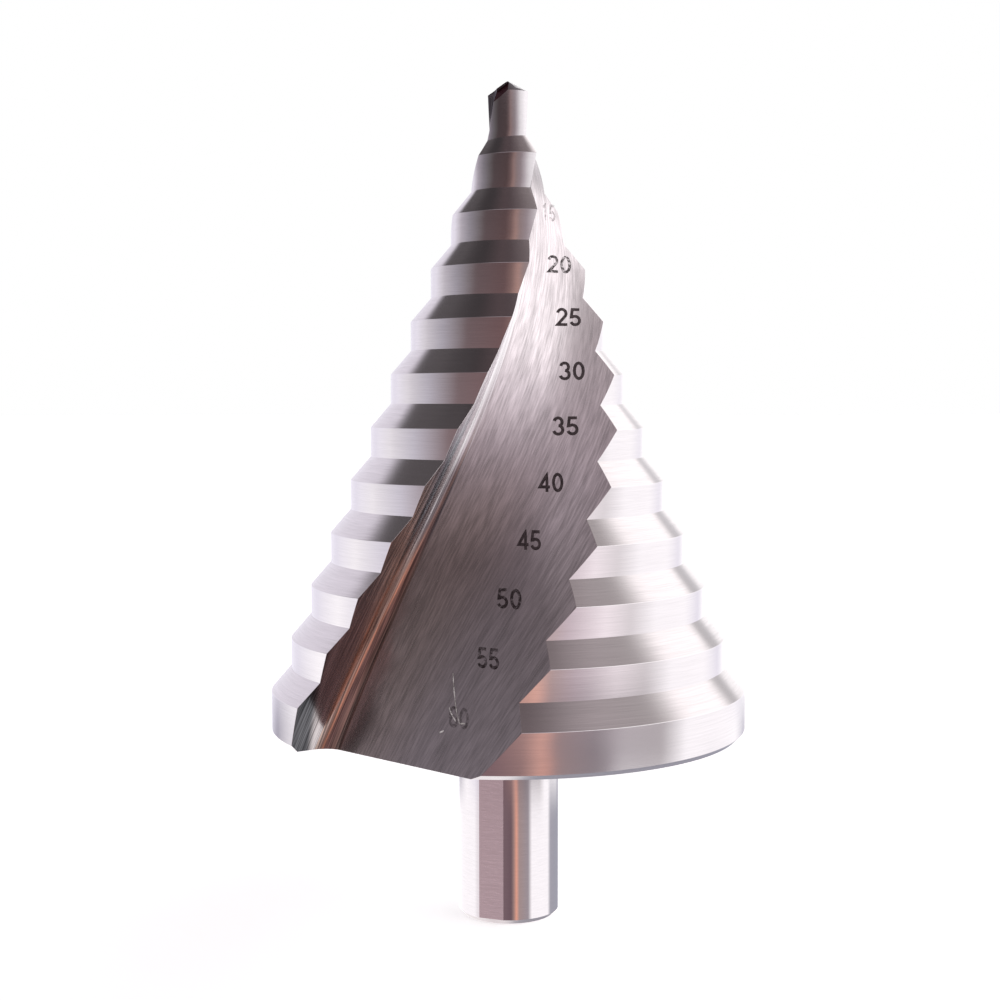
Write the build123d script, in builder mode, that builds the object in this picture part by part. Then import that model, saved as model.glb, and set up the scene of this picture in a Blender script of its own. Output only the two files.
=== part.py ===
from build123d import *
from math import asin, atan2, cos, degrees, radians, sin, tan
import os

# Step drill for sheet metal, ground from one bar of high-speed steel: a pilot point and
# eleven larger steps on a half-inch shank with three flats, cut by two spiral flutes.
# It stands on its shank end with the point up. Z is the drill's axis, and the origin is
# the middle of the shank's end. Lengths are millimetres and angles are degrees.
# A bearing is measured from the front, -Y, towards the right, +X.

os.makedirs("parts", exist_ok=True)

# Shank
shank_diameter = 12.7
shank_length = 23.7
shank_end_chamfer = 0.6
flat_count = 3
flat_depth = 0.21
flat_bearing = -21.0

# Pilot and point
pilot_diameter = 6.0
pilot_length = 5.4
point_angle = 126.0

# Steps, from the smallest at the top to the rim
first_step_diameter = 10.0
step_increase = 5.0
step_count = 11
land_height = 3.7
bevel_height = 2.9
first_land_height = 4.3
rim_land_height = 5.7
rim_chamfer = 0.9

# Relief: each land falls away behind its cutting edge, inwards and downwards
radial_relief = 0.36
axial_relief = 0.36
land_span = 120.0

# Flutes: the root line runs straight from the rim in to the pilot, and steeper along it
flute_count = 2
root_bearing = -61.4
rim_twist = 0.585
pilot_foot_twist = 2.35
pilot_twist = 1.2
rim_root_radius = 24.8
pilot_root_radius = 2.47
point_root_radius = 1.5
rim_fillet = 2.5
pilot_fillet = 0.8
rake_lean = 5.0
rim_back_angle = 107.3
pilot_back_angle = 123.1
section_count = 13
pilot_section_count = 3

# Split point: a gash ahead of each lip leaves a narrow web and a facet that falls to the heel
gash_web = 0.15
gash_depth = 0.15
lip_fall = 28.5
heel_fall = 42.0

# How far the tools' shapes run past the metal that they join or cut
overlap = 1.0
half_overlap_angle = 10.0
flute_clearance = 5.0

# Radii and heights that follow
shank_radius = shank_diameter / 2
pilot_radius = pilot_diameter / 2
first_radius = first_step_diameter / 2
radius_increase = step_increase / 2
rim_radius = first_radius + (step_count - 1) * radius_increase
bevel_slope = bevel_height / radius_increase
base_height = shank_length
rim_top = base_height + rim_land_height
first_top = rim_top + (step_count - 1) * (land_height + bevel_height) + first_land_height - land_height
pilot_foot = first_top + (first_radius - pilot_radius) * bevel_slope
pilot_top = pilot_foot + pilot_length
tip_height = pilot_top + pilot_radius / tan(radians(point_angle / 2))
head_height = tip_height - base_height
cone_height = pilot_foot - base_height

# The two halves of a ring turn about axes set off from the drill's axis towards the
# middle of the flute, which lies this far ahead of the cutting edge
edge_angle = (360 / flute_count - land_span) / 2
radial_offset = radial_relief / (2 * cos(radians(edge_angle)))
axial_offset = axial_relief / (2 * cos(radians(edge_angle)))



def polar_angle(bearing):
    """Turn a bearing from the front into an angle from +X."""
    return bearing - 90


def step_radius(step):
    """Cutting radius of a step, counted down from the smallest, which is 0."""
    return first_radius + step * radius_increase


def step_top(step):
    """Height of the cutting corner at the top of a step's land."""
    if step == 0:
        return first_top
    return rim_top + (step_count - 1 - step) * (land_height + bevel_height)


def step_land(step):
    """Height of a step's land, from its top corner to the next bevel."""
    if step == step_count - 1:
        return rim_land_height
    return first_land_height if step == 0 else land_height


def root_turn(height):
    """Bearing of the flute's root, which twists faster towards the pilot and slowly along it."""
    rise = min(height, pilot_foot) - base_height
    gain = (pilot_foot_twist - rim_twist) * rise**2 / (2 * cone_height)
    return root_bearing + rim_twist * rise + gain + pilot_twist * (height - base_height - rise)


def blend(rim_value, pilot_value, height):
    """Value that changes evenly from the rim's base to the pilot's foot and then stays."""
    rise = min(height, pilot_foot) - base_height
    return rim_value + (pilot_value - rim_value) * rise / cone_height


def root_radius(height):
    """Distance of the flute's corner from the axis, which shrinks slowly along the pilot."""
    thinning = (pilot_root_radius - point_root_radius) / (tip_height - pilot_foot)
    past_foot = max(height - pilot_foot, 0)
    return blend(rim_root_radius, pilot_root_radius, height) - thinning * past_foot


def edge_turn(height, radius):
    """Bearing of the cutting edge where the flute's wall meets a given radius."""
    root = root_radius(height)
    lean = radians(rake_lean)
    wall = (radius**2 - (root * sin(lean)) ** 2) ** 0.5 - root * cos(lean)
    return root_turn(height) + degrees(atan2(wall * sin(lean), root + wall * cos(lean)))


def ring_axes(step, side):
    """Plane across one half ring's own axis, with X towards the flute ahead of its edge."""
    middle = step_top(step) - step_land(step) / 2
    ahead = edge_turn(middle, step_radius(step)) + edge_angle + side * 360 / flute_count
    outward = Vector(1, 0, 0).rotate(Axis.Z, polar_angle(ahead))
    lean = asin(axial_offset / step_radius(step))
    centre_height = step_top(step) - axial_offset * cos(radians(edge_angle))
    centre = outward * radial_offset + Vector(0, 0, centre_height)
    return Plane(
        origin=centre,
        x_dir=outward * cos(lean) + Vector(0, 0, 1) * sin(lean),
        z_dir=Vector(0, 0, 1) * cos(lean) - outward * sin(lean),
    )


def flute_plane(height, side):
    """Level plane at a height, with X towards the root of one flute."""
    turn = polar_angle(root_turn(height)) + side * 360 / flute_count
    return Plane(origin=(0, 0, height), x_dir=Vector(1, 0, 0).rotate(Axis.Z, turn), z_dir=(0, 0, 1))


def spaced(low, high, count):
    """Evenly spaced heights from low to high."""
    return [low + (high - low) * step / (count - 1) for step in range(count)]


with BuildPart() as step_drill:
    # Pilot with its conical point
    with BuildSketch(Plane.XZ):
        with BuildLine():
            Polyline(
                (0, step_top(0)),
                (pilot_radius, step_top(0)),
                (pilot_radius, pilot_top),
                (0, tip_height),
                close=True,
            )
        make_face()
    revolve(axis=Axis.Z)

    # Steps: half rings with relief, each a bevel over a land
    for step in range(step_count):
        radius = step_radius(step) - radial_offset * cos(radians(edge_angle))
        inner_radius = (step_radius(step - 1) if step else pilot_radius) - overlap
        bevel_top = (radius - inner_radius) * bevel_slope
        land_foot = -step_land(step) - overlap
        for side in range(flute_count):
            axes = ring_axes(step, side)
            ring_axis = Axis(axes.origin, axes.z_dir)
            start = axes.x_dir.rotate(ring_axis, -360 / flute_count - half_overlap_angle)
            with BuildSketch(Plane(origin=axes.origin, x_dir=start, z_dir=start.cross(axes.z_dir))):
                with BuildLine():
                    Polyline(
                        (0, bevel_top),
                        (inner_radius, bevel_top),
                        (radius, 0),
                        (radius, land_foot),
                        (0, land_foot),
                        close=True,
                    )
                make_face()
            revolve(axis=ring_axis, revolution_arc=360 / flute_count + 2 * half_overlap_angle)

    # Flat base and the chamfer round its rim
    split(bisect_by=Plane.XY.offset(base_height), keep=Keep.TOP)
    with BuildSketch(Plane.XZ):
        with BuildLine():
            Polyline(
                (rim_radius - rim_chamfer, base_height),
                (rim_radius + overlap, base_height),
                (rim_radius + overlap, base_height + rim_chamfer + overlap),
                close=True,
            )
        make_face()
    revolve(axis=Axis.Z, mode=Mode.SUBTRACT)

    # Flutes: a raked wall, a rounded root and a long flat back, lofted along the twist
    # of the cone and then up the pilot
    cone_heights = spaced(base_height - overlap, pilot_foot, section_count)
    pilot_heights = spaced(pilot_foot, tip_height + overlap, pilot_section_count)
    wall_reach = rim_radius - rim_root_radius + flute_clearance
    back_reach = rim_radius + flute_clearance
    for side in range(flute_count):
        for heights in (cone_heights, pilot_heights):
            for height in heights:
                back_angle = blend(rim_back_angle, pilot_back_angle, height)
                fillet_radius = blend(rim_fillet, pilot_fillet, height)
                half_opening = radians(back_angle - rake_lean) / 2
                corner = Vector(root_radius(height), 0)
                wall = Vector(1, 0).rotate(Axis.Z, rake_lean)
                back = Vector(1, 0).rotate(Axis.Z, back_angle)
                middle = Vector(1, 0).rotate(Axis.Z, (rake_lean + back_angle) / 2)
                tangent_reach = fillet_radius / tan(half_opening)
                wall_end = corner + wall * wall_reach
                back_end = corner + back * back_reach
                with BuildSketch(flute_plane(height, side)):
                    with BuildLine():
                        Line(wall_end, corner + wall * tangent_reach)
                        ThreePointArc(
                            corner + wall * tangent_reach,
                            corner + middle * (fillet_radius / sin(half_opening) - fillet_radius),
                            corner + back * tangent_reach,
                        )
                        Line(corner + back * tangent_reach, back_end)
                        Line(back_end, back_end + wall * wall_reach)
                        Line(back_end + wall * wall_reach, wall_end)
                    make_face()
            loft(mode=Mode.SUBTRACT)

    # Split point: the gash ahead of each lip
    for side in range(flute_count):
        turn = polar_angle(edge_turn(pilot_top, pilot_radius)) + side * 360 / flute_count
        outward = Vector(1, 0, 0).rotate(Axis.Z, turn)
        ahead = outward.rotate(Axis.Z, 90)
        gash_start = Vector(0, 0, tip_height - gash_depth)
        along_lip = outward * cos(radians(lip_fall)) - Vector(0, 0, 1) * sin(radians(lip_fall))
        with BuildSketch(Plane(origin=gash_start, x_dir=ahead, z_dir=outward)):
            with BuildLine():
                Polyline(
                    (gash_web, -gash_web * tan(radians(heel_fall))),
                    (pilot_diameter, -pilot_diameter * tan(radians(heel_fall))),
                    (pilot_diameter, pilot_diameter),
                    (gash_web, pilot_diameter),
                    close=True,
                )
            make_face()
        extrude(amount=pilot_diameter, dir=along_lip, both=True, mode=Mode.SUBTRACT)

    # Shank with its chamfered end and three flats for the chuck's jaws
    with BuildSketch(Plane.XY):
        Circle(shank_radius)
    extrude(amount=shank_length + overlap)
    chamfer(step_drill.edges().group_by(Axis.Z)[0], shank_end_chamfer)
    flat_cutter_width = shank_radius
    flat_centre = shank_radius - flat_depth + flat_cutter_width / 2
    with BuildSketch(Plane.XY):
        with PolarLocations(flat_centre, flat_count, start_angle=polar_angle(flat_bearing)):
            Rectangle(flat_cutter_width, shank_diameter)
    extrude(amount=shank_length, mode=Mode.SUBTRACT)

step_drill.part.label = "step_drill"
export_step(step_drill.part, "parts/step_drill.step")
print("overall height", round(tip_height, 2), "rim diameter", 2 * rim_radius)
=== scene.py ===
from math import acos, atan2, cos, degrees, pi, radians, sin, sqrt, tan

import bmesh
import bpy
from mathutils import Matrix, Vector


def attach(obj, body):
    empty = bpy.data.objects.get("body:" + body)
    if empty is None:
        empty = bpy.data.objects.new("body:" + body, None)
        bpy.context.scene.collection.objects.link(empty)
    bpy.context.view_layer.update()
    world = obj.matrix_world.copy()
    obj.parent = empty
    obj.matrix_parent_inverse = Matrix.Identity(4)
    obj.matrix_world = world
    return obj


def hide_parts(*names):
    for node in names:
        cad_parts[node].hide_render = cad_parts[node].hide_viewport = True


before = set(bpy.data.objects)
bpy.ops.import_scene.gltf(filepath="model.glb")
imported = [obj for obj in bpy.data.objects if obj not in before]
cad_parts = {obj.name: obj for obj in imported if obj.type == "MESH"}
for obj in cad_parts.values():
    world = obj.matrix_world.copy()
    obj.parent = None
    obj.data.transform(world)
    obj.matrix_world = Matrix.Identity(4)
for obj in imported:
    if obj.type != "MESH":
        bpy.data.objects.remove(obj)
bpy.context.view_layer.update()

# Lengths are millimetres and angles are degrees until a mesh is made. A bearing is
# measured from the front, -Y, towards the right, +X, as in the part's source.
MM = 0.001

# Sizes of the drill, as in the part's source
SHANK_RADIUS = 6.35
SHANK_LENGTH = 23.7
SHANK_CHAMFER = 0.6
FLAT_COUNT = 3
FLAT_DEPTH = 0.21
FLAT_BEARING = -21.0
PILOT_RADIUS = 3.0
PILOT_LENGTH = 5.4
POINT_ANGLE = 126.0
FIRST_RADIUS = 5.0
RADIUS_INCREASE = 2.5
STEP_COUNT = 11
LAND_HEIGHT = 3.7
BEVEL_HEIGHT = 2.9
FIRST_LAND_HEIGHT = 4.3
RIM_LAND_HEIGHT = 5.7
RIM_CHAMFER = 0.9
RELIEF = 0.36
EDGE_ANGLE = 30.0
ROOT_BEARING = -61.4
RIM_TWIST = 0.585
PILOT_FOOT_TWIST = 2.35
PILOT_TWIST = 1.2
RIM_ROOT_RADIUS = 24.8
PILOT_ROOT_RADIUS = 2.47
POINT_ROOT_RADIUS = 1.5
RIM_FILLET = 2.5
PILOT_FILLET = 0.8
RAKE_LEAN = 5.0
RIM_BACK_ANGLE = 107.3
PILOT_BACK_ANGLE = 123.1
GASH_WEB = 0.15
GASH_DEPTH = 0.15
LIP_FALL = 28.5
HEEL_FALL = 42.0

# Break along the sharp edges
EDGE_BREAK = 0.02

# Values that follow
RIM_RADIUS = FIRST_RADIUS + (STEP_COUNT - 1) * RADIUS_INCREASE
BEVEL_SLOPE = BEVEL_HEIGHT / RADIUS_INCREASE
BASE = SHANK_LENGTH
RIM_TOP = BASE + RIM_LAND_HEIGHT
PITCH = LAND_HEIGHT + BEVEL_HEIGHT
FIRST_TOP = RIM_TOP + (STEP_COUNT - 1) * PITCH + FIRST_LAND_HEIGHT - LAND_HEIGHT
PILOT_FOOT = FIRST_TOP + (FIRST_RADIUS - PILOT_RADIUS) * BEVEL_SLOPE
PILOT_TOP = PILOT_FOOT + PILOT_LENGTH
TIP = PILOT_TOP + PILOT_RADIUS / tan(radians(POINT_ANGLE / 2))
CONE_HEIGHT = PILOT_FOOT - BASE
OFFSET = RELIEF / (2 * cos(radians(EDGE_ANGLE)))
EDGE_COS = cos(radians(EDGE_ANGLE))

# Fineness of the mesh
LAND_COLUMNS = 72
WALL_COLUMNS = 6
ROOT_COLUMNS = 12
BACK_COLUMNS = 18
LAND_ROWS = 4
BEVEL_ROWS = 4
PILOT_ROWS = 8
FLAT_COLUMNS = 6
ROUND_COLUMNS = 36
SHANK_ROWS = 6
CONE_SIDES = 96
MEETING_ROUNDS = 6
SHARP_ANGLE = 15.0

# How far the uncut pilot and the tool that cuts its cone run past the tip
PILOT_HEADROOM = 1.0
CONE_HEADROOM = 4.0

# Material slots of the drill's mesh
FLUTE_SURFACES = ["wall", "root", "back"]
SURFACES = ["land", "bevel", *FLUTE_SURFACES, "base", "point", "gash", "shank", "flat", "shank_end"]


def blend(rim_value, pilot_value, height):
    """Value that changes evenly from the rim's base to the pilot's foot and then stays."""
    rise = min(height, PILOT_FOOT) - BASE
    return rim_value + (pilot_value - rim_value) * rise / CONE_HEIGHT


def root_turn(height):
    """Bearing of the flute's corner."""
    rise = min(height, PILOT_FOOT) - BASE
    gain = (PILOT_FOOT_TWIST - RIM_TWIST) * rise**2 / (2 * CONE_HEIGHT)
    return ROOT_BEARING + RIM_TWIST * rise + gain + PILOT_TWIST * (height - BASE - rise)


def root_radius(height):
    """Distance of the flute's corner from the axis."""
    thinning = (PILOT_ROOT_RADIUS - POINT_ROOT_RADIUS) / (TIP - PILOT_FOOT)
    past_foot = max(height - PILOT_FOOT, 0)
    return blend(RIM_ROOT_RADIUS, PILOT_ROOT_RADIUS, height) - thinning * past_foot


def wall_reach(height, radius):
    """Distance from the flute's corner out along its wall to a radius."""
    corner = root_radius(height)
    lean = radians(RAKE_LEAN)
    return sqrt(radius**2 - (corner * sin(lean)) ** 2) - corner * cos(lean)


def back_reach(height, radius):
    """Distance from the flute's corner out along its back to a radius."""
    corner = root_radius(height)
    angle = radians(blend(RIM_BACK_ANGLE, PILOT_BACK_ANGLE, height))
    return sqrt(radius**2 - (corner * sin(angle)) ** 2) - corner * cos(angle)


def from_corner(height, angle, reach):
    """Radius and bearing of a point at an angle and a distance from the flute's corner."""
    corner = root_radius(height)
    across = corner + reach * cos(radians(angle))
    along = reach * sin(radians(angle))
    return sqrt(across**2 + along**2), root_turn(height) + degrees(atan2(along, across))


def edge_bearing(height, radius):
    """Bearing of the cutting edge at a height and a radius."""
    return from_corner(height, RAKE_LEAN, wall_reach(height, radius))[1]


def heel_bearing(height, radius):
    """Bearing at which the flute's back ends, at a height and a radius."""
    back_angle = blend(RIM_BACK_ANGLE, PILOT_BACK_ANGLE, height)
    return from_corner(height, back_angle, back_reach(height, radius))[1]


def step_radius(step):
    """Cutting radius of a step, counted down from the smallest, which is 0."""
    return FIRST_RADIUS + step * RADIUS_INCREASE


def step_top(step):
    """Height of the cutting corner at the top of a step's land."""
    return FIRST_TOP if step == 0 else RIM_TOP + (STEP_COUNT - 1 - step) * PITCH


def step_land(step):
    """Height of a step's land, from its top corner to the next bevel."""
    if step == STEP_COUNT - 1:
        return RIM_LAND_HEIGHT
    return FIRST_LAND_HEIGHT if step == 0 else LAND_HEIGHT


STEP_EDGES = [edge_bearing(step_top(s) - step_land(s) / 2, step_radius(s)) for s in range(STEP_COUNT)]


def behind(step, side, bearing):
    """Cosine of the angle from the middle of the flute ahead of a land's cutting edge."""
    return cos(radians(EDGE_ANGLE + STEP_EDGES[step] + 180 * side - bearing))


def land_radius(step, side, bearing):
    """Radius of a land, which shrinks behind its cutting edge."""
    return step_radius(step) - OFFSET * (EDGE_COS - behind(step, side, bearing))


def bevel_height(step, side, bearing, radius):
    """Height of a step's bevel at a radius."""
    turned = behind(step, side, bearing)
    fall = OFFSET * (EDGE_COS - turned * radius / step_radius(step))
    return step_top(step) + (land_radius(step, side, bearing) - radius) * BEVEL_SLOPE - fall


def land_point(step, side, bearing, share):
    """Radius and height on a land, from its foot, 0, to just under its top corner, 1."""
    radius = land_radius(step, side, bearing)
    if step == STEP_COUNT - 1:
        low = BASE + radius - (RIM_RADIUS - RIM_CHAMFER)
    else:
        low = bevel_height(step + 1, side, bearing, radius)
    high = bevel_height(step, side, bearing, radius) - EDGE_BREAK
    return radius, low + (high - low) * share


def bevel_point(step, side, bearing, share):
    """Radius and height on a bevel, from just inside its land, 0, to its inner end, 1."""
    outer = land_radius(step, side, bearing) - EDGE_BREAK / BEVEL_SLOPE
    inner = PILOT_RADIUS if step == 0 else land_radius(step - 1, side, bearing)
    radius = outer + (inner - outer) * share
    return radius, bevel_height(step, side, bearing, radius)


def base_point(step, side, bearing, share):
    """Radius and height on the chamfer round the rim's base, from its foot, 0, to its top, 1."""
    radius = land_radius(step, side, bearing)
    outer = RIM_RADIUS - RIM_CHAMFER
    return outer + (radius - outer) * share, BASE + (radius - outer) * share


def pilot_point(step, side, bearing, share):
    """Radius and height on the pilot, from its foot, 0, to past the tip, 1."""
    low = bevel_height(0, side, bearing, PILOT_RADIUS)
    return PILOT_RADIUS, low + (TIP + PILOT_HEADROOM - low) * share


def profile_rows():
    """Rows of the drill's head from the base up: (surface, function, step, share)."""
    rows = [("bevel", base_point, STEP_COUNT - 1, 0.0)]
    for step in reversed(range(STEP_COUNT)):
        rows += [("land", land_point, step, i / LAND_ROWS) for i in range(LAND_ROWS + 1)]
        rows += [("bevel", bevel_point, step, i / BEVEL_ROWS) for i in range(BEVEL_ROWS)]
    rows += [("land", pilot_point, 0, i / PILOT_ROWS) for i in range(PILOT_ROWS + 1)]
    return rows


def meet(point, step, side, share, turn, bearing_of):
    """Bearing, radius and height where a row meets a flute's edge or heel."""
    radius, height = point(step, side, bearing_of(step_top(step), step_radius(step)) + turn, share)
    for _ in range(MEETING_ROUNDS):
        bearing = bearing_of(height, radius) + turn
        radius, height = point(step, side, bearing, share)
    return bearing, radius, height


def flute_columns():
    """Columns across a flute: (surface, share of the way to the heel, share of its own part)."""
    columns = [("wall", i / WALL_COLUMNS) for i in range(WALL_COLUMNS)]
    columns += [("root", i / ROOT_COLUMNS) for i in range(ROOT_COLUMNS)]
    columns += [("back", i / BACK_COLUMNS) for i in range(BACK_COLUMNS + 1)]
    return [(part, i / (len(columns) - 1), share) for i, (part, share) in enumerate(columns)]


def flute_point(part, share, height, edge_radius, heel_radius):
    """Radius, bearing and distance across the flute of one point of its section."""
    back_angle = blend(RIM_BACK_ANGLE, PILOT_BACK_ANGLE, height)
    half_opening = (back_angle - RAKE_LEAN) / 2
    fillet = blend(RIM_FILLET, PILOT_FILLET, height)
    tangent = fillet / tan(radians(half_opening))
    if part == "wall":
        outer = max(wall_reach(height, edge_radius) - EDGE_BREAK, tangent + EDGE_BREAK)
        reach = outer + (tangent - outer) * share
        return *from_corner(height, RAKE_LEAN, reach), -reach
    if part == "back":
        outer = back_reach(height, heel_radius) - EDGE_BREAK
        reach = tangent + (outer - tangent) * share
        return *from_corner(height, back_angle, reach), reach
    swing = (share - 0.5) * 2 * (90 - half_opening)
    middle = RAKE_LEAN + half_opening
    centre = fillet / sin(radians(half_opening))
    across = centre - fillet * cos(radians(swing))
    along = fillet * sin(radians(swing))
    angle = middle + degrees(atan2(along, across))
    return *from_corner(height, angle, sqrt(across**2 + along**2)), along


def place(radius, bearing, height):
    """Point at a radius, a bearing and a height."""
    return radius * sin(radians(bearing)), -radius * cos(radians(bearing)), height


def head_row(row):
    """One closed row of points round the head: (place, surface, across the flute)."""
    surface, point, step, share = row
    points = []
    for side in (0, 1):
        turn = 180 * side
        start, heel_radius, heel_height = meet(point, step, side, share, turn - 180, heel_bearing)
        end, edge_radius, edge_height = meet(point, step, side, share, turn, edge_bearing)
        start += degrees(EDGE_BREAK / heel_radius)
        end_inset = end - degrees(EDGE_BREAK / edge_radius)
        for i in range(LAND_COLUMNS + 1):
            bearing = start + (end_inset - start) * i / LAND_COLUMNS
            radius, height = point(step, side, bearing, share)
            points.append((place(radius, bearing, height), surface, 0.0))
        _, next_radius, next_height = meet(point, step, side + 1, share, turn, heel_bearing)
        for part, whole, own in flute_columns():
            height = edge_height + (next_height - edge_height) * whole
            radius, bearing, across = flute_point(part, own, height, edge_radius, next_radius)
            points.append((place(radius, bearing + turn, height), part, across))
    return points


def shank_radius_at(angle, limit):
    """Radius of the shank at a bearing, cut by the nearest flat."""
    spacing = 360 / FLAT_COUNT
    off = (angle - FLAT_BEARING + spacing / 2) % spacing - spacing / 2
    return min(limit, (SHANK_RADIUS - FLAT_DEPTH) / cos(radians(off)))


def shank_bearings():
    """Bearings round the shank with points on the flats' borders."""
    half = degrees(acos((SHANK_RADIUS - FLAT_DEPTH) / SHANK_RADIUS))
    spacing = 360 / FLAT_COUNT
    bearings = []
    for flat in range(FLAT_COUNT):
        middle = FLAT_BEARING + flat * spacing
        bearings += [middle - half + 2 * half * i / FLAT_COLUMNS for i in range(FLAT_COLUMNS)]
        bearings += [middle + half + (spacing - 2 * half) * i / ROUND_COLUMNS for i in range(ROUND_COLUMNS)]
    return bearings


def add_object(name, data):
    obj = bpy.data.objects.new(name, data)
    bpy.context.collection.objects.link(obj)
    return obj


def join_rows(mesh, low, high, surfaces):
    """Quads between two closed rows of vertices, with one surface for each column."""
    for i, surface in enumerate(surfaces):
        j = (i + 1) % len(surfaces)
        face = mesh.faces.new((low[i], low[j], high[j], high[i]))
        face.material_index = SURFACES.index(surface)


def build_head(mesh):
    """Rows of the stepped head; returns its lowest row of vertices."""
    across = mesh.verts.layers.float.new("across")
    rows = []
    for row in profile_rows():
        points = head_row(row)
        verts = []
        for where, _, distance in points:
            vert = mesh.verts.new(Vector(where) * MM)
            vert[across] = distance
            verts.append(vert)
        if rows:
            join_rows(mesh, rows[-1], verts, [k if k in FLUTE_SURFACES else under for _, k, _ in points])
        rows.append(verts)
        under = row[0]
    top = mesh.faces.new(rows[-1])
    top.material_index = SURFACES.index("point")
    return rows[0]


def build_shank(mesh):
    """Shank with its flats and chamfered end; returns its highest row of vertices."""
    levels = [(0.0, SHANK_RADIUS - SHANK_CHAMFER), (SHANK_CHAMFER, SHANK_RADIUS)]
    levels += [(SHANK_LENGTH * i / SHANK_ROWS, SHANK_RADIUS) for i in range(1, SHANK_ROWS + 1)]
    bearings = shank_bearings()
    chamfer = ["shank_end"] * len(bearings)
    side = (["flat"] * FLAT_COLUMNS + ["shank"] * ROUND_COLUMNS) * FLAT_COUNT
    rows = []
    for height, limit in levels:
        verts = []
        for bearing in bearings:
            radius = shank_radius_at(bearing, limit)
            verts.append(mesh.verts.new(Vector(place(radius, bearing, height)) * MM))
        if rows:
            join_rows(mesh, rows[-1], verts, side if len(rows) > 1 else chamfer)
        rows.append(verts)
    end = mesh.faces.new(list(reversed(rows[0])))
    end.material_index = SURFACES.index("base")
    return rows[-1]


def build_drill():
    """The whole drill, with a pilot that still runs past its point."""
    mesh = bmesh.new()
    border = []
    for loop in (build_head(mesh), build_shank(mesh)):
        border += [mesh.edges.get(pair) for pair in zip(loop, loop[1:] + loop[:1])]
    made = bmesh.ops.triangle_fill(mesh, use_beauty=True, edges=border)
    for face in made["geom"]:
        if isinstance(face, bmesh.types.BMFace):
            face.material_index = SURFACES.index("base")
            if face.normal.z > 0:
                face.normal_flip()
    data = bpy.data.meshes.new("drill_body")
    mesh.to_mesh(data)
    mesh.free()
    for surface in SURFACES:
        data.materials.append(bpy.data.materials[surface])
    return add_object("drill_body", data)


def cutter(points, faces, surface):
    """Closed helper solid from points in millimetres, whose faces all have one surface."""
    mesh = bmesh.new()
    verts = [mesh.verts.new(Vector(point) * MM) for point in points]
    for face in faces:
        mesh.faces.new([verts[i] for i in face]).material_index = SURFACES.index(surface)
    bmesh.ops.recalc_face_normals(mesh, faces=mesh.faces)
    data = bpy.data.meshes.new("cutter")
    mesh.to_mesh(data)
    mesh.free()
    for name in SURFACES:
        data.materials.append(bpy.data.materials[name])
    return add_object("cutter", data)


def cone_cutter():
    """Everything above the point's cone, over the pilot."""
    reach = 2 * PILOT_RADIUS
    low = TIP - reach / tan(radians(POINT_ANGLE / 2))
    bearings = [360 * i / CONE_SIDES for i in range(CONE_SIDES)]
    points = [place(reach, bearing, low) for bearing in bearings]
    points += [place(reach, bearing, TIP + CONE_HEADROOM) for bearing in bearings]
    points.append((0, 0, TIP))
    faces = [tuple(range(CONE_SIDES, 2 * CONE_SIDES))]
    for i in range(CONE_SIDES):
        j = (i + 1) % CONE_SIDES
        faces += [(i, j, 2 * CONE_SIDES), (i, j, CONE_SIDES + j, CONE_SIDES + i)]
    return cutter(points, faces, "point")


def gash_cutter(side):
    """Wedge ahead of one lip that leaves a narrow web and a facet that falls to the heel."""
    lip = edge_bearing(PILOT_TOP, PILOT_RADIUS) + 180 * side
    along = Vector(place(cos(radians(LIP_FALL)), lip, -sin(radians(LIP_FALL))))
    ahead = Vector(place(1, lip + 90, 0))
    start = Vector((0, 0, TIP - GASH_DEPTH))
    size = 2 * PILOT_RADIUS
    fall = tan(radians(HEEL_FALL))
    outline = [(GASH_WEB, -GASH_WEB * fall), (size, -size * fall), (size, size), (GASH_WEB, size)]
    corners = [start + ahead * across + Vector((0, 0, up)) for across, up in outline]
    points = [corner + along * way for way in (-size, size) for corner in corners]
    faces = [(0, 1, 2, 3), (7, 6, 5, 4), (0, 4, 5, 1), (1, 5, 6, 2), (2, 6, 7, 3), (3, 7, 4, 0)]
    return cutter(points, faces, "gash")


def cut_away(obj, tool):
    """Subtract a helper solid and remove it."""
    modifier = obj.modifiers.new("cut", "BOOLEAN")
    modifier.object = tool
    modifier.operation = "DIFFERENCE"
    modifier.solver = "EXACT"
    graph = bpy.context.evaluated_depsgraph_get()
    uncut = obj.data
    obj.data = bpy.data.meshes.new_from_object(obj.evaluated_get(graph))
    obj.modifiers.clear()
    bpy.data.meshes.remove(uncut)
    bpy.data.objects.remove(tool)


# Nodes

# Sockets of a mix node that mixes colours
MIX_SHARE = 0
MIX_FIRST = 6
MIX_SECOND = 7
MIX_RESULT = 2

# Values that nearly all of a noise lies between
NOISE_LOW = 0.3
NOISE_HIGH = 0.7


def new_material(name):
    """Material with its node tree and its shader."""
    material = bpy.data.materials.new(name)
    material.use_nodes = True
    tree = material.node_tree
    return material, tree, tree.nodes["Principled BSDF"]


def node(tree, kind, **values):
    made = tree.nodes.new(kind)
    for key, value in values.items():
        setattr(made, key, value)
    return made


def math(tree, operation, a, b=None):
    """Result of a sum whose terms are numbers or sockets."""
    made = node(tree, "ShaderNodeMath", operation=operation)
    for socket, value in zip(made.inputs, (a, b)):
        if value is None:
            continue
        if isinstance(value, (int, float)):
            socket.default_value = value
        else:
            tree.links.new(value, socket)
    return made.outputs[0]


def ramp(tree, factor, stops):
    """Colour that a factor picks from stops of position and colour."""
    made = node(tree, "ShaderNodeValToRGB")
    elements = made.color_ramp.elements
    while len(elements) < len(stops):
        elements.new(0.5)
    for element, (position, colour) in zip(elements, stops):
        element.position = position
        element.color = (*colour, 1)
    tree.links.new(factor, made.inputs[0])
    return made.outputs[0]


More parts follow.
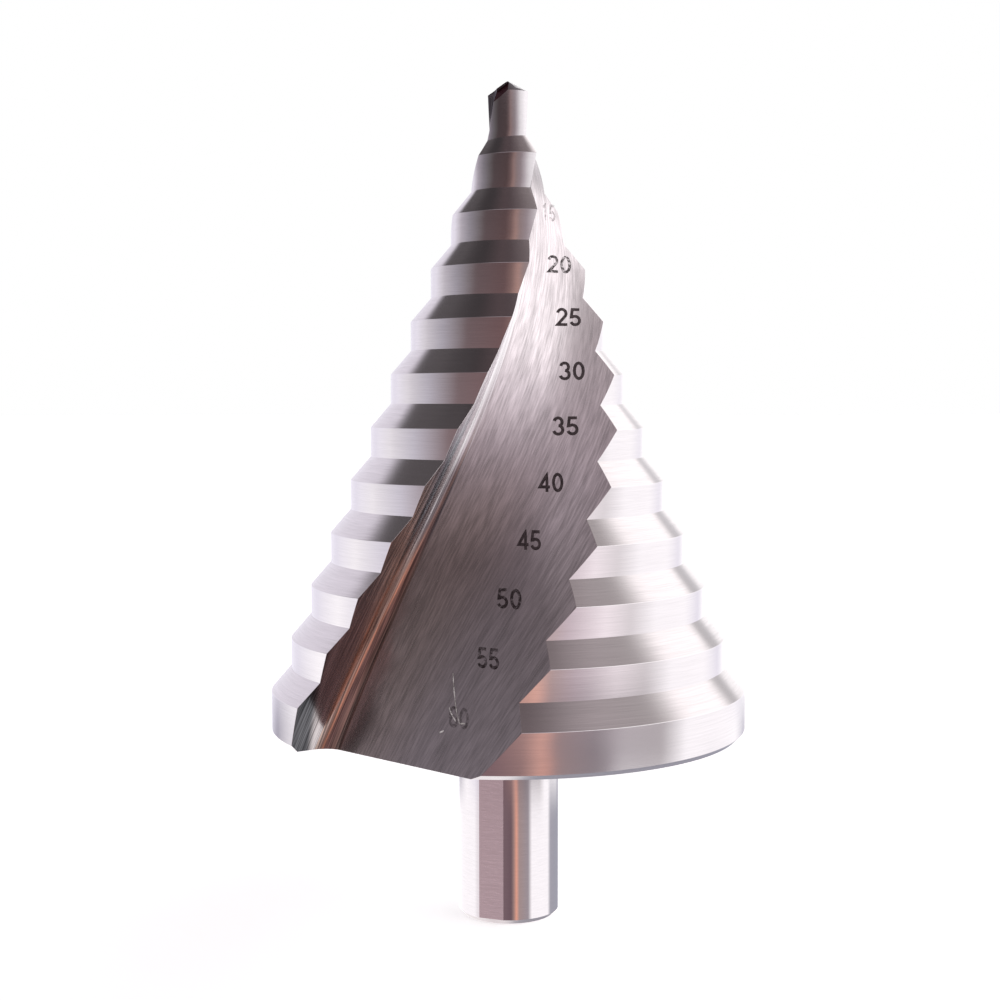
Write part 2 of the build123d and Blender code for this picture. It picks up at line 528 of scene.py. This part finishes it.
def mixed(tree, share, first, second):
    mix = node(tree, "ShaderNodeMix", data_type="RGBA")
    for socket, value in ((MIX_SHARE, share), (MIX_FIRST, first), (MIX_SECOND, second)):
        tree.links.new(value, mix.inputs[socket])
    return mix.outputs[MIX_RESULT]


def see_through(tree, shader, share):
    """Let a surface go clear by a share."""
    mix = node(tree, "ShaderNodeMixShader")
    clear = node(tree, "ShaderNodeBsdfTransparent")
    for socket, value in enumerate((share, shader.outputs[0], clear.outputs[0])):
        tree.links.new(value, mix.inputs[socket])
    tree.links.new(mix.outputs[0], tree.nodes["Material Output"].inputs["Surface"])


def coordinate(tree, kind):
    """Right, back and up of one kind of texture coordinate."""
    parts = node(tree, "ShaderNodeSeparateXYZ")
    tree.links.new(node(tree, "ShaderNodeTexCoord").outputs[kind], parts.inputs[0])
    return parts.outputs


def turn_of(tree, where):
    """Bearing of a coordinate in radians."""
    return math(tree, "ARCTAN2", where[0], math(tree, "MULTIPLY", where[1], -1.0))


def between(tree, value, low, high):
    """Value of a noise spread between two limits."""
    limits = node(tree, "ShaderNodeMapRange")
    limits.inputs["From Min"].default_value = NOISE_LOW
    limits.inputs["From Max"].default_value = NOISE_HIGH
    limits.inputs["To Min"].default_value = low
    limits.inputs["To Max"].default_value = high
    tree.links.new(value, limits.inputs["Value"])
    return limits.outputs[0]


def share_over(tree, value, start, end):
    """0 at the first value and 1 at the second, which may be the lower one."""
    limits = node(tree, "ShaderNodeMapRange", interpolation_type="SMOOTHSTEP")
    limits.inputs["From Min"].default_value = start
    limits.inputs["From Max"].default_value = end
    tree.links.new(value, limits.inputs["Value"])
    return limits.outputs[0]


def speckles(tree, scale):
    """Fine even noise."""
    noise = node(tree, "ShaderNodeTexNoise")
    noise.inputs["Scale"].default_value = scale
    tree.links.new(node(tree, "ShaderNodeTexCoord").outputs["Object"], noise.inputs["Vector"])
    return noise.outputs["Fac"]


# Ground steel

# Radius at which millimetres round the drill are measured
GRAIN_RADIUS = 20.0
FINE_SHARE = 0.65
BUMP_DISTANCE = 0.00002

# Where the flute's surfaces change their look, mostly by painted shade and painted reflections: heights,
# and for the painted shade on the wall's outer foot distances from the corner that grow with the height
WALL_STREAKS_AND_SHADE = (67.0, 60.0)
WALL_BROWN_SHADE = (46.0, 38.0)
WALL_FOOT_SHADE = (5.0, 3.9)
FOOT_SHADE_SLOPE = 0.3
ROOT_DARK_STREAKS = (62.0, 56.0)
ROOT_COPPER_REFLECTION = (52.0, 44.0)
BACK_WARM_REFLECTION = (62.0, 50.0)
BACK_WARM_REFLECTION_WIDTH = (16.0, 5.0)
# Heights over which the flutes at the pilot go dark: painted shade
PILOT_PAINTED_SHADE = (98.5, 101.5)


def round_the_drill(tree):
    """Coordinates in millimetres that run round the drill and up it."""
    where = coordinate(tree, "Object")
    return math(tree, "MULTIPLY", turn_of(tree, where), GRAIN_RADIUS), math(tree, "DIVIDE", where[2], MM)


def along_the_flute(tree):
    """Coordinates in millimetres that run up the drill and across the flute."""
    across = node(tree, "ShaderNodeAttribute", attribute_name="across").outputs["Fac"]
    return math(tree, "DIVIDE", coordinate(tree, "Object")[2], MM), across


def grain(tree, coordinates, long_scale, cross_scale, detail):
    """Noise drawn out along the first coordinate."""
    joined = node(tree, "ShaderNodeCombineXYZ")
    tree.links.new(math(tree, "MULTIPLY", coordinates[0], long_scale), joined.inputs[0])
    tree.links.new(math(tree, "MULTIPLY", coordinates[1], cross_scale), joined.inputs[1])
    noise = node(tree, "ShaderNodeTexNoise")
    noise.inputs["Scale"].default_value = 1.0
    noise.inputs["Detail"].default_value = detail
    tree.links.new(joined.outputs[0], noise.inputs["Vector"])
    return noise.outputs["Fac"]


def roughen(tree, shader, height, depth):
    """Fine bumps of a depth on a shader."""
    bump = node(tree, "ShaderNodeBump")
    bump.inputs["Strength"].default_value = depth
    bump.inputs["Distance"].default_value = BUMP_DISTANCE
    tree.links.new(height, bump.inputs["Height"])
    tree.links.new(bump.outputs[0], shader.inputs["Normal"])


def steel(name, colour, roughness, run, scales, spread, depth, anisotropic=0.0, shade=None):
    """Ground steel whose fine grinding marks run along one direction."""
    _, tree, shader = new_material(name)
    shader.inputs["Metallic"].default_value = 1.0
    shader.inputs["Anisotropic"].default_value = anisotropic
    coordinates = run(tree)
    long_scale, cross_scale = scales
    fine = grain(tree, coordinates, long_scale, cross_scale, 3.0)
    broad = grain(tree, coordinates, long_scale / 3, cross_scale / 5, 2.0)
    fine_part = math(tree, "MULTIPLY", fine, FINE_SHARE)
    marks = math(tree, "ADD", fine_part, math(tree, "MULTIPLY", broad, 1 - FINE_SHARE))
    dark = [c * (1 - spread) for c in colour]
    light = [min(1, c * (1 + spread)) for c in colour]
    tint = ramp(tree, marks, [(0.36, dark), (0.64, light)])
    if shade:
        tint = shade(tree, coordinates, marks, tint)
    tree.links.new(tint, shader.inputs["Base Color"])
    rough = between(tree, marks, roughness * 1.2, roughness * 0.8)
    tree.links.new(rough, shader.inputs["Roughness"])
    roughen(tree, shader, fine, depth)
    if anisotropic:
        tangent = node(tree, "ShaderNodeTangent", direction_type="RADIAL", axis="Z")
        tree.links.new(tangent.outputs[0], shader.inputs["Tangent"])


def dark_pilot(tree, height, marks, tint):
    """Painted shade on the flutes at the pilot, for the dark room that they mirror there."""
    dark = ramp(tree, marks, [(0.4, (0.07, 0.065, 0.075)), (0.62, (0.24, 0.23, 0.25))])
    return mixed(tree, share_over(tree, height, *PILOT_PAINTED_SHADE), tint, dark)


def worn_wall(tree, coordinates, marks, tint):
    """Streaks on the wall's lower half and a browner base, both darkened as painted shade, and painted
    shade on the outer foot.
    """
    height, across = coordinates
    # Painted shade: the lower half's streaks are much darker than the steel above
    streaks = ramp(tree, marks, [(0.42, (0.11, 0.12, 0.13)), (0.6, (0.55, 0.6, 0.64))])
    tint = mixed(tree, share_over(tree, height, *WALL_STREAKS_AND_SHADE), tint, streaks)
    # Painted shade: darker and browner towards the base
    brown = ramp(tree, marks, [(0.4, (0.27, 0.24, 0.24)), (0.62, (0.6, 0.55, 0.55))])
    tint = mixed(tree, share_over(tree, height, *WALL_BROWN_SHADE), tint, brown)
    # Painted shade: the wall's outer foot is painted near-black
    outer = math(tree, "ADD", across, math(tree, "MULTIPLY", height, FOOT_SHADE_SLOPE))
    foot_shade = ramp(tree, marks, [(0.42, (0.03, 0.03, 0.033)), (0.6, (0.15, 0.15, 0.16))])
    tint = mixed(tree, share_over(tree, outer, *WALL_FOOT_SHADE), tint, foot_shade)
    return dark_pilot(tree, height, marks, tint)


def worn_root(tree, coordinates, marks, tint):
    """Darker streaks on the lower half of the root as painted shade, and a painted copper reflection
    towards the base.
    """
    height = coordinates[0]
    # Painted shade: the lower half's streaks are much darker than the steel above
    dark_streaks = ramp(tree, marks, [(0.4, (0.16, 0.14, 0.15)), (0.62, (0.5, 0.46, 0.47))])
    tint = mixed(tree, share_over(tree, height, *ROOT_DARK_STREAKS), tint, dark_streaks)
    # Painted reflection: a copper tint towards the base
    copper = ramp(tree, marks, [(0.4, (0.15, 0.11, 0.1)), (0.62, (0.68, 0.51, 0.44))])
    tint = mixed(tree, share_over(tree, height, *ROOT_COPPER_REFLECTION), tint, copper)
    return dark_pilot(tree, height, marks, tint)


def worn_back(tree, coordinates, marks, tint):
    """Painted warm reflection on the lower half beside the root, and painted shade on the pilot."""
    height, across = coordinates
    # Painted reflection: warmer and darker beside the root on the lower half
    warm = ramp(tree, marks, [(0.4, (0.45, 0.39, 0.37)), (0.62, (0.72, 0.62, 0.59))])
    beside_root = share_over(tree, across, *BACK_WARM_REFLECTION_WIDTH)
    share = math(tree, "MULTIPLY", share_over(tree, height, *BACK_WARM_REFLECTION), beside_root)
    return dark_pilot(tree, height, marks, mixed(tree, share, tint, warm))


def make_materials():
    """One material for each surface of the drill."""
    steel("land", (0.72, 0.69, 0.71), 0.11, round_the_drill, (0.25, 20.0), 0.05, 0.03, 0.3)
    steel("bevel", (0.64, 0.60, 0.61), 0.16, round_the_drill, (0.25, 16.0), 0.07, 0.03, 0.3)
    steel("wall", (0.76, 0.73, 0.75), 0.16, along_the_flute, (0.12, 5.0), 0.14, 0.06, shade=worn_wall)
    steel("root", (0.76, 0.73, 0.75), 0.2, along_the_flute, (0.12, 6.0), 0.14, 0.06, shade=worn_root)
    steel("back", (0.60, 0.55, 0.57), 0.24, along_the_flute, (0.4, 4.0), 0.24, 0.08, shade=worn_back)
    steel("base", (0.60, 0.57, 0.58), 0.3, round_the_drill, (1.0, 2.0), 0.05, 0.03)
    steel("point", (0.50, 0.47, 0.49), 0.14, round_the_drill, (1.0, 8.0), 0.08, 0.03)
    # Painted shade: the gash facets are near-black steel with a muted specular tint
    steel("gash", (0.12, 0.09, 0.095), 0.3, round_the_drill, (1.0, 8.0), 0.3, 0.03)
    steel("shank", (0.72, 0.69, 0.71), 0.07, round_the_drill, (0.25, 20.0), 0.04, 0.02)
    steel("flat", (0.76, 0.64, 0.66), 0.3, round_the_drill, (0.25, 20.0), 0.08, 0.03)
    steel("shank_end", (0.6, 0.55, 0.56), 0.3, round_the_drill, (0.25, 20.0), 0.1, 0.03)
    gash = bpy.data.materials["gash"].node_tree.nodes["Principled BSDF"]
    gash.inputs["Specular Tint"].default_value = (0.25, 0.2, 0.21, 1)


# Numbers and scratches

# Numbers marked on the front flute's back: diameter, distance of the number's middle from
# the corner, how much it is drawn out sideways and the share of it that has worn off
MARKS = [
    (15, 5.2, 1.0, 0.8),
    (20, 6.5, 1.2, 0.42),
    (25, 8.4, 1.05, 0.0),
    (30, 10.2, 0.96, 0.0),
    (35, 11.6, 0.93, 0.0),
    (40, 12.75, 0.84, 0.0),
    (45, 13.65, 0.82, 0.0),
    (50, 15.15, 0.9, 0.25),
    (55, 16.9, 0.87, 0.42),
    (60, 17.6, 0.87, 0.75),
]
MARK_HEIGHT = 2.2
MARK_STRETCH = 1.18
MARK_STROKE = 0.35
MARK_PITCH = 1.84
MARK_RISE = 0.2
MARK_PROUD = 0.012
MARK_SPECKLES = 2500.0

# Paths of the scratches, from the middle of the last number
SCRATCHES = [
    [(-0.95, 4.6), (-0.85, 3.2), (-0.6, 1.6), (-0.35, 0.4), (0.1, -0.6), (0.9, -0.5)],
    [(-1.5, 0.9), (-1.1, 0.2), (-0.5, -0.4)],
    [(-2.9, -1.9), (-2.3, -1.6)],
]
SCRATCH_WIDTH = 0.15
SCRATCH_SPECKLES = 1500.0

# Longest piece of a path, the pieces of an arc, and how far a sharp corner's mitre may reach
PATH_PIECE = 0.15
ARC_PIECES = 16
MITRE_LIMIT = 0.45


def arc(centre_x, centre_y, radius_x, radius_y, start, end):
    """Points of an elliptical arc between two angles."""
    turns = [radians(start + (end - start) * i / ARC_PIECES) for i in range(ARC_PIECES + 1)]
    return [(centre_x + radius_x * cos(t), centre_y + radius_y * sin(t)) for t in turns]


# Strokes of the figures, along the middle of each line; a figure is 1 high
FIGURES = {
    "0": [arc(0.33, 0.5, 0.23, 0.43, 0, 360)],
    "1": [[(0.14, 0.74), (0.36, 0.93), (0.36, 0.0)]],
    "2": [arc(0.32, 0.69, 0.22, 0.24, 170, -35) + [(0.09, 0.07), (0.6, 0.07)]],
    "3": [arc(0.31, 0.71, 0.2, 0.22, 165, -80), arc(0.31, 0.29, 0.23, 0.23, 85, -165)],
    "4": [[(0.62, 0.26), (0.07, 0.26), (0.45, 0.91), (0.45, 0.0)]],
    "5": [[(0.55, 0.93), (0.17, 0.93), (0.11, 0.5)] + arc(0.31, 0.31, 0.23, 0.24, 125, -160)],
    "6": [arc(0.33, 0.3, 0.22, 0.23, 0, 360), arc(0.35, 0.5, 0.24, 0.43, 35, 195)],
}


def finer(path):
    """The same path with points close enough together to follow the steel."""
    points = [path[0]]
    for before, after in zip(path, path[1:]):
        length = sqrt((after[0] - before[0]) ** 2 + (after[1] - before[1]) ** 2)
        count = max(1, round(length / PATH_PIECE))
        for i in range(1, count + 1):
            points.append(tuple(a + (b - a) * i / count for a, b in zip(before, after)))
    return points


def stroke(path, width):
    """Points and faces of a band of a width along a path, mitred at its corners."""
    path = [Vector(point) for point in path]
    closed = (path[0] - path[-1]).length < 1e-6
    befores = [path[-2] if closed else path[0]] + path[:-1]
    afters = path[1:] + [path[1] if closed else path[-1]]
    points, faces = [], []
    for i, (before, here, after) in enumerate(zip(befores, path, afters)):
        arrive = (here - before if i or closed else after - here).normalized()
        leave = (after - here if after != here else arrive).normalized()
        side = Vector((-arrive.y - leave.y, arrive.x + leave.x)).normalized()
        reach = width / 2 / max(MITRE_LIMIT, side.dot(Vector((-leave.y, leave.x))))
        points += [here + side * reach, here - side * reach]
        if i:
            faces.append((2 * i - 2, 2 * i - 1, 2 * i + 1, 2 * i))
    return points, faces


def figure_mesh(text, width):
    """Flat mesh of a number in millimetres, with its middle at the origin."""
    points, faces = [], []
    for index, character in enumerate(text):
        left = (index - len(text) / 2) * MARK_PITCH
        for path in FIGURES[character]:
            scaled, quads = stroke(finer(path), MARK_STROKE / MARK_HEIGHT)
            faces += [tuple(len(points) + corner for corner in quad) for quad in quads]
            for p in scaled:
                across = left + p.x * MARK_HEIGHT * MARK_STRETCH
                points.append((across * width, (p.y - 0.5) * MARK_HEIGHT, 0))
    mesh = bpy.data.meshes.new("mark")
    mesh.from_pydata(points, [], faces)
    return mesh


def back_place(height, reach):
    """Point of the front flute's back at a height and a distance from the corner."""
    back_angle = blend(RIM_BACK_ANGLE, PILOT_BACK_ANGLE, height)
    radius, bearing = from_corner(height, back_angle, reach)
    return Vector(place(radius, bearing, height))


def on_back(middle_height, middle_reach, across, up):
    """Point just off the flute's back, at a distance to the right of and above a middle."""
    height = middle_height + up
    middle = back_place(middle_height, middle_reach)
    ahead = back_place(middle_height, middle_reach + 1) - middle
    target = middle.x + across * ahead.x
    here = back_place(height, middle_reach)
    step = back_place(height, middle_reach + 1) - here
    reach = middle_reach + (target - here.x) / step.x
    spot = back_place(height, reach)
    normal = step.cross(back_place(height + 1, reach) - spot).normalized()
    if normal.y > 0:
        normal = -normal
    return spot + normal * MARK_PROUD


def lay_on_back(name, mesh, diameter, reach, material):
    """Lay a flat mesh on the flute's back, round the middle of one number's place."""
    height = step_top(round((diameter / 2 - FIRST_RADIUS) / RADIUS_INCREASE)) + MARK_RISE
    for vert in mesh.vertices:
        vert.co = on_back(height, reach, vert.co.x, vert.co.y) * MM
    mesh.materials.append(material)
    return add_object(name, mesh)


def make_mark_material(diameter, wear):
    """Dark etched number that is worn away in spots."""
    material, tree, shader = new_material(f"mark_{diameter}")
    shader.inputs["Roughness"].default_value = 0.6
    shader.inputs["Specular IOR Level"].default_value = 0.2
    spots = speckles(tree, MARK_SPECKLES)
    colour = ramp(tree, spots, [(0.35, (0.03, 0.021, 0.023)), (0.7, (0.07, 0.052, 0.056))])
    tree.links.new(colour, shader.inputs["Base Color"])
    if wear:
        see_through(tree, shader, between(tree, spots, 2 * wear - 1, 1.0))
    return material


def make_marks():
    """Numbers as thin flat shapes that lie on the flute's back."""
    marks = []
    for diameter, reach, width, wear in MARKS:
        material = make_mark_material(diameter, wear)
        mesh = figure_mesh(str(diameter), width)
        marks.append(lay_on_back(f"mark_{diameter}", mesh, diameter, reach, material))
    return marks


def make_scratches():
    """Bright scratches round the last number, as thin bands on the flute's back."""
    material, tree, shader = new_material("scratch")
    shader.inputs["Roughness"].default_value = 0.5
    spots = speckles(tree, SCRATCH_SPECKLES)
    colour = ramp(tree, spots, [(0.4, (0.3, 0.28, 0.27)), (0.6, (0.8, 0.78, 0.76))])
    tree.links.new(colour, shader.inputs["Base Color"])
    diameter, reach = MARKS[-1][:2]
    scratches = []
    for index, path in enumerate(SCRATCHES):
        points, faces = stroke(finer(path), SCRATCH_WIDTH)
        mesh = bpy.data.meshes.new("scratch")
        mesh.from_pydata([(p.x, p.y, 0) for p in points], [], faces)
        scratches.append(lay_on_back(f"scratch_{index}", mesh, diameter, reach, material))
    return scratches


# Studio

# The room that the steel mirrors, from the floor up: white walls left, right and behind,
# a dark doorway in front with a copper-coloured strip on its right, a grey post behind on
# the right, grey upper walls and a dark ceiling. Each level above the floor has the limits
# between which it takes over from the one below, elevations at first and slopes for the
# last two, and its colours by bearing or, for the ceiling, from left to right.
WHITE = (1.35, 1.33, 1.34)
BRIGHT = (1.65, 1.62, 1.62)
PALE = (1.0, 0.97, 1.07)
FLOOR_COLOURS = [
    (-86, WHITE),
    (-62, (0.75, 0.66, 0.7)),
    (-38, (0.57, 0.49, 0.52)),
    (-14, (0.25, 0.17, 0.19)),
    (6, (0.2, 0.13, 0.15)),
    (12, (0.45, 0.3, 0.27)),
    (18, (1.05, 0.5, 0.36)),
    (24, (0.5, 0.38, 0.36)),
    (46, (0.45, 0.4, 0.43)),
    (55, WHITE),
    (103, WHITE),
    (113, (0.5, 0.5, 0.56)),
    (165, (0.42, 0.43, 0.5)),
    (178, WHITE),
]
RIM_LEVEL = ((-14, -12.5), [
    (-170, (0.85, 0.83, 0.93)),
    (-148, (0.46, 0.44, 0.52)),
    (-112, WHITE),
    (-80, PALE),
    (-14, (0.2, 0.12, 0.14)),
    (6, (0.45, 0.28, 0.26)),
    (14, (0.8, 0.45, 0.38)),
    (21, (0.34, 0.25, 0.26)),
    (40, (0.24, 0.21, 0.23)),
    (50, (0.4, 0.36, 0.38)),
    (76, (0.46, 0.42, 0.43)),
    (92, WHITE),
    (140, WHITE),
    (158, (0.7, 0.68, 0.76)),
])
STEP_LEVEL = ((-11.3, -9.5), [
    (-145, PALE),
    (-115, WHITE),
    (-84, PALE),
    (-50, (0.4, 0.29, 0.3)),
    (-6, (0.4, 0.23, 0.23)),
    (3, (0.6, 0.36, 0.32)),
    (13, (1.1, 0.63, 0.5)),
    (21, (0.65, 0.5, 0.48)),
    (33, (0.8, 0.67, 0.72)),
    (56, (1.25, 1.15, 1.18)),
    (73, (0.95, 0.9, 0.91)),
    (92, WHITE),
    (122, WHITE),
    (142, PALE),
    (158, WHITE),
])
POINT_LEVEL = ((-8, 8.5), [
    (-135, PALE),
    (-110, (0.42, 0.38, 0.44)),
    (-85, (0.19, 0.17, 0.19)),
    (-62, (0.11, 0.1, 0.1)),
    (-45, (0.065, 0.05, 0.052)),
    (-8, (0.06, 0.043, 0.043)),
    (3, (0.12, 0.08, 0.08)),
    (12, (0.25, 0.175, 0.17)),
    (33, (0.28, 0.23, 0.24)),
    (45, (0.5, 0.45, 0.47)),
    (62, (0.95, 0.93, 0.94)),
    (90, WHITE),
])
WALL_COLOURS = [
    (-150, PALE),
    (-128, PALE),
    (-108, (0.26, 0.24, 0.26)),
    (-62, (0.18, 0.155, 0.165)),
    (-42, (0.16, 0.13, 0.14)),
    (-8, (0.42, 0.36, 0.39)),
    (8, (0.62, 0.55, 0.58)),
    (26, (1.1, 1.03, 1.07)),
    (55, BRIGHT),
    (133, BRIGHT),
]
POST_COLOURS = [
    (141, (0.55, 0.54, 0.55)),
    (152, (0.8, 0.79, 0.82)),
    (162, WHITE),
]
POST_LEVEL = ((9.5, 13), WALL_COLOURS + POST_COLOURS)
WALL_LEVEL = ((19, 23), WALL_COLOURS)
UPPER_WALLS = ((0.66, 0.72), [
    (-125, (0.13, 0.12, 0.125)),
    (-95, (0.12, 0.11, 0.115)),
    (-72, (0.27, 0.24, 0.25)),
    (-15, (0.5, 0.44, 0.47)),
    (15, (0.56, 0.49, 0.52)),
    (75, (0.54, 0.49, 0.5)),
    (98, (0.5, 0.47, 0.47)),
    (105, (0.9, 0.87, 0.87)),
    (112, BRIGHT),
    (152, BRIGHT),
    (167, (0.3, 0.28, 0.3)),
    (180, (0.15, 0.14, 0.15)),
])
CEILING = ((0.87, 0.94), [
    (-0.35, (0.062, 0.055, 0.058)),
    (-0.13, (0.12, 0.09, 0.095)),
    (0.0, (0.115, 0.088, 0.093)),
    (0.08, (0.15, 0.12, 0.125)),
    (0.2, (0.2, 0.165, 0.17)),
    (0.35, (0.3, 0.26, 0.265)),
])

# How far the last two levels come down behind the drill and the upper walls on the right
LEAN_BEHIND = 0.3
LEAN_RIGHT = 0.08

FLOOR_SIZE = 3.0
FLOOR_GLOW = 0.6
SOFTBOXES = {"left_softbox": (-0.33, 0.57, 0.3), "right_softbox": (0.56, -0.2, 0.3)}
SOFTBOX_SIZE = 0.25
SOFTBOX_POWER = 0.2
SOFTBOX_TARGET = (0, 0, 0.06)

# Camera, fitted to the photograph's step corners
CAMERA_PLACE = (-1.041, -221.45, 68.31)
CAMERA_DOWN = 3.977
CAMERA_ROLL = 0.079
FOCAL_PIXELS = 1751.77
PICTURE_WIDTH = 1000.0
SENSOR_WIDTH = 36.0


def by_bearing(tree, where, stops):
    """Colour by bearing round the room."""
    share = math(tree, "ADD", math(tree, "DIVIDE", turn_of(tree, where), 2 * pi), 0.5)
    return ramp(tree, share, [(0.5 + bearing / 360, colour) for bearing, colour in stops])


def up_to(tree, value, limits):
    """0 below the first limit and 1 above the second."""
    return ramp(tree, value, [(limits[0], (0, 0, 0)), (limits[1], (1, 1, 1))])


def room_colour(tree):
    """Colour of the room in the direction of a ray."""
    where = coordinate(tree, "Generated")
    right, behind_drill, up = where
    rise = math(tree, "ADD", math(tree, "DIVIDE", math(tree, "ARCSINE", up), pi), 0.5)
    room = by_bearing(tree, where, FLOOR_COLOURS)
    for heights, stops in (RIM_LEVEL, STEP_LEVEL, POINT_LEVEL, POST_LEVEL, WALL_LEVEL):
        share = up_to(tree, rise, [0.5 + height / 180 for height in heights])
        room = mixed(tree, share, room, by_bearing(tree, where, stops))
    lean = math(tree, "MULTIPLY", math(tree, "MAXIMUM", behind_drill, 0.0), LEAN_BEHIND)
    slope = math(tree, "ADD", up, lean)
    tilted = math(tree, "ADD", slope, math(tree, "MULTIPLY", right, LEAN_RIGHT))
    limits, stops = UPPER_WALLS
    room = mixed(tree, up_to(tree, tilted, limits), room, by_bearing(tree, where, stops))
    limits, stops = CEILING
    sideways = math(tree, "ADD", math(tree, "DIVIDE", right, 2.0), 0.5)
    ceiling = ramp(tree, sideways, [(0.5 + x / 2, colour) for x, colour in stops])
    return mixed(tree, up_to(tree, slope, limits), room, ceiling)


def make_world():
    """White for the camera, and the room for the steel."""
    world = bpy.data.worlds.new("studio")
    bpy.context.scene.world = world
    world.use_nodes = True
    tree = world.node_tree
    tree.nodes.clear()
    seen = node(tree, "ShaderNodeMix", data_type="RGBA")
    tree.links.new(node(tree, "ShaderNodeLightPath").outputs["Is Camera Ray"], seen.inputs[MIX_SHARE])
    tree.links.new(room_colour(tree), seen.inputs[MIX_FIRST])
    seen.inputs[MIX_SECOND].default_value = (1, 1, 1, 1)
    light = node(tree, "ShaderNodeBackground")
    tree.links.new(seen.outputs[MIX_RESULT], light.inputs[0])
    out = node(tree, "ShaderNodeOutputWorld")
    tree.links.new(light.outputs[0], out.inputs[0])


def make_floor():
    """Plain white floor that the steel doesn't mirror."""
    data = bpy.data.meshes.new("floor")
    corners = [(x * FLOOR_SIZE, y * FLOOR_SIZE, 0) for x, y in ((-1, -1), (1, -1), (1, 1), (-1, 1))]
    data.from_pydata(corners, [], [(0, 1, 2, 3)])
    floor = add_object("floor", data)
    material, tree, shader = new_material("floor")
    shader.inputs["Base Color"].default_value = (0.9, 0.9, 0.9, 1)
    shader.inputs["Roughness"].default_value = 0.9
    shader.inputs["Emission Color"].default_value = (1, 1, 1, 1)
    shader.inputs["Emission Strength"].default_value = FLOOR_GLOW
    see_through(tree, shader, node(tree, "ShaderNodeLightPath").outputs["Is Glossy Ray"])
    data.materials.append(material)


def make_softbox(name, where):
    """Soft light that aims at the drill and isn't mirrored in it."""
    data = bpy.data.lights.new(name, "AREA")
    data.size = SOFTBOX_SIZE
    data.energy = SOFTBOX_POWER
    light = add_object(name, data)
    light.location = where
    light.rotation_euler = (Vector(SOFTBOX_TARGET) - Vector(where)).to_track_quat("-Z", "Y").to_euler()
    light.visible_glossy = False


def make_camera():
    data = bpy.data.cameras.new("camera")
    data.sensor_width = SENSOR_WIDTH
    data.lens = FOCAL_PIXELS / PICTURE_WIDTH * SENSOR_WIDTH
    data.clip_start = 0.01
    camera = add_object("camera", data)
    down = Matrix.Rotation(radians(90 - CAMERA_DOWN), 3, "X")
    roll = Matrix.Rotation(radians(-CAMERA_ROLL), 3, "Z")
    camera.rotation_euler = (down @ roll).to_euler()
    camera.location = Vector(CAMERA_PLACE) * MM
    bpy.context.scene.camera = camera


make_materials()
drill = build_drill()
cut_away(drill, cone_cutter())
for side in (0, 1):
    cut_away(drill, gash_cutter(side))
drill.data.shade_smooth()
drill.data.set_sharp_from_angle(angle=radians(SHARP_ANGLE))
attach(drill, "root")
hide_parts("step_drill")

for mark in make_marks() + make_scratches():
    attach(mark, "root")

make_world()
make_floor()
for name, where in SOFTBOXES.items():
    make_softbox(name, where)
make_camera()
bpy.context.scene.view_settings.view_transform = "Standard"
